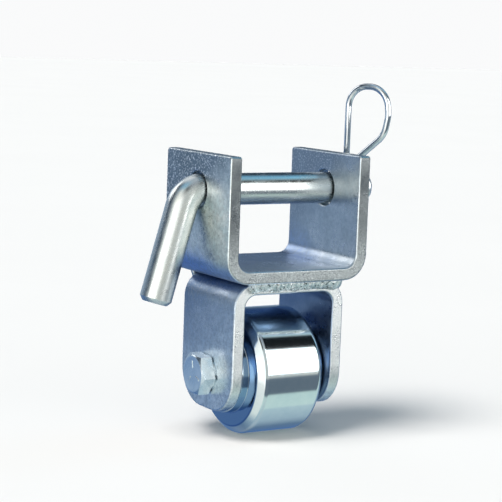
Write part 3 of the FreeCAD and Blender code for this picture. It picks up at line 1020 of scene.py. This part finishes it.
def make_camera():
    """Yaw turns the camera from -Y toward +X, pitch lifts it and roll tilts the picture."""
    yaw, pitch, roll = (math.radians(a) for a in (CAMERA_YAW, CAMERA_PITCH, CAMERA_ROLL))
    level = math.cos(pitch)
    back = Vector((math.sin(yaw) * level, -math.cos(yaw) * level, math.sin(pitch)))
    right = Vector((math.cos(yaw), math.sin(yaw), 0))
    up = back.cross(right)
    tilted_right = right * math.cos(roll) + up * math.sin(roll)
    tilted_up = up * math.cos(roll) - right * math.sin(roll)
    camera = bpy.data.objects.new("camera", bpy.data.cameras.new("camera"))
    turn = Matrix((tilted_right, tilted_up, back)).transposed()
    camera.matrix_world = Matrix.Translation(CAMERA_PLACE) @ turn.to_4x4()
    camera.data.lens, camera.data.sensor_width = CAMERA_LENS, 36.0
    camera.data.clip_start, camera.data.clip_end = 0.01, 60.0
    bpy.context.scene.collection.objects.link(camera)
    bpy.context.scene.camera = camera


def hang(lamp, place, back):
    """Put a lamp in the scene with its back turned along the given direction."""
    obj = bpy.data.objects.new(lamp.name, lamp)
    obj.location = place
    obj.rotation_euler = back.to_track_quat("Z", "Y").to_euler()
    obj.visible_camera = False
    bpy.context.scene.collection.objects.link(obj)
    return obj


def softbox(name, centre, facing, size, brightness):
    """A rectangular lamp that only shines on glossy surfaces; brightness is in wall colours."""
    lamp = bpy.data.lights.new(name, "AREA")
    lamp.shape, lamp.size, lamp.size_y = "RECTANGLE", *size
    lamp.energy = brightness * math.pi * size[0] * size[1]
    hang(lamp, Vector(centre), -Vector(facing)).visible_diffuse = False


def soft_sun(azimuth, elevation, strength, spread, colour):
    """Even light for the floor, kept out of the mirrors; azimuth turns from +Y toward +X."""
    lamp = bpy.data.lights.new("soft_sun", "SUN")
    lamp.energy, lamp.angle, lamp.color = strength, math.radians(spread), colour
    a, e = math.radians(azimuth), math.radians(elevation)
    back = Vector((math.sin(a) * math.cos(e), math.cos(a) * math.cos(e), math.sin(e)))
    hang(lamp, back * 3.0, back).visible_glossy = False


def wall(make, turn, stops):
    """Colours by the angle about the X axis: 0 ahead, 90 overhead, 180 behind, -90 underfoot."""
    node = make.add("ShaderNodeValToRGB")
    make.feed(node.inputs["Fac"], turn)
    marks = node.color_ramp.elements
    for k, (angle, *colour) in enumerate(stops):
        mark = marks[k] if k < 2 else marks.new(1.0)
        mark.position = (angle + 180) / 360
        mark.color = (*colour, 1)
    return node.outputs["Color"]


ROOM = [
    (-180, 0.36, 0.46, 0.58), (-165, 0.24, 0.34, 0.50), (-150, 0.08, 0.17, 0.38),
    (-120, 0.13, 0.21, 0.32), (-98, 0.36, 0.48, 0.56), (-68, 0.50, 0.64, 0.68),
    (-65, 0.62, 0.78, 0.74), (-39, 0.60, 0.76, 0.72), (-36, 0.14, 0.18, 0.22),
    (-8, 0.14, 0.18, 0.22), (-5, 0.62, 0.64, 0.60), (44, 0.55, 0.58, 0.58),
    (47, 0.006, 0.008, 0.01), (68, 0.006, 0.008, 0.01), (71, 0.55, 0.70, 0.74),
    (76, 0.20, 0.42, 0.56), (84, 0.26, 0.62, 0.88), (106, 0.14, 0.36, 0.56),
    (116, 0.015, 0.03, 0.05), (150, 0.02, 0.04, 0.07), (165, 0.10, 0.16, 0.24),
    (180, 0.36, 0.46, 0.58),
]
# toward the middle the ceiling is plainer and the back is lit from above
PLAIN = [
    (-180, 0.36, 0.46, 0.58), (-165, 0.24, 0.34, 0.50), (-150, 0.10, 0.19, 0.38),
    (-120, 0.22, 0.29, 0.38), (-98, 0.42, 0.51, 0.58), (-68, 0.52, 0.63, 0.66),
    (-39, 0.60, 0.73, 0.70), (-36, 0.16, 0.20, 0.24), (-8, 0.16, 0.20, 0.24),
    (-5, 0.62, 0.64, 0.60), (44, 0.58, 0.61, 0.60), (60, 0.34, 0.38, 0.42),
    (84, 0.48, 0.53, 0.59), (106, 0.56, 0.61, 0.67), (122, 0.84, 0.88, 0.92),
    (142, 0.84, 0.88, 0.92), (150, 0.22, 0.29, 0.40), (165, 0.16, 0.24, 0.36),
    (180, 0.36, 0.46, 0.58),
]
LEFT = [
    (-180, 0.30, 0.42, 0.52), (-110, 0.40, 0.50, 0.58), (-90, 0.85, 0.90, 0.84),
    (-30, 1.0, 1.0, 0.95), (-12, 1.7, 1.7, 1.65), (24, 1.7, 1.7, 1.65), (40, 1.3, 1.3, 1.24),
    (72, 1.1, 1.1, 1.04), (96, 0.40, 0.44, 0.46), (180, 0.10, 0.14, 0.18),
]
BACKDROP = (0.955, 0.96, 0.965)


def make_world():
    """Pale to the eye; to the metal, a studio with dark blue behind and grey to pale ahead."""
    world = bpy.data.worlds.new("studio")
    bpy.context.scene.world = world
    make = Nodes(world)
    split = make.add("ShaderNodeSeparateXYZ")
    make.feed(split.inputs["Vector"], make.add("ShaderNodeTexCoord").outputs["Generated"])
    across, along, up = (split.outputs[axis] for axis in "XYZ")
    turn = make.math("ARCTAN2", up, make.math("MULTIPLY", along, -1.0))
    turn = make.span(turn, -math.pi, math.pi)
    middle = make.math("MULTIPLY", make.span(across, 0.38, 0.16), make.span(across, -0.32, -0.10))
    near_left = make.math("MULTIPLY", make.span(across, -0.42, -0.60), make.span(along, 0.45, 0.10))
    seen = make.blend(middle, wall(make, turn, ROOM), wall(make, turn, PLAIN))
    seen = make.blend(near_left, seen, wall(make, turn, LEFT))
    seen = make.blend(make.add("ShaderNodeLightPath").outputs["Is Camera Ray"], seen, BACKDROP)
    background = make.add("ShaderNodeBackground")
    make.feed(background.inputs["Color"], seen)
    output = make.add("ShaderNodeOutputWorld")
    make.feed(output.inputs["Surface"], background.outputs["Background"])


make_floor()
make_camera()
make_world()
softbox(
    "key_front_right",
    centre=(1.15, -1.1, 0.47), facing=(0, 1, 0), size=(1.9, 1.06), brightness=2.4,
)
softbox(
    "fill_left",
    centre=(-1.4, -0.45, 0.16), facing=(1, 0.2, 0), size=(0.8, 0.42), brightness=1.6,
)
softbox(
    "rear",
    centre=(-0.55, 1.25, 0.75), facing=(0.35, -1, -0.5), size=(0.9, 0.7), brightness=1.6,
)
soft_sun(azimuth=-100, elevation=62, strength=2.75, spread=30, colour=(1.0, 0.97, 0.93))
bpy.context.scene.view_settings.view_transform = "Standard"
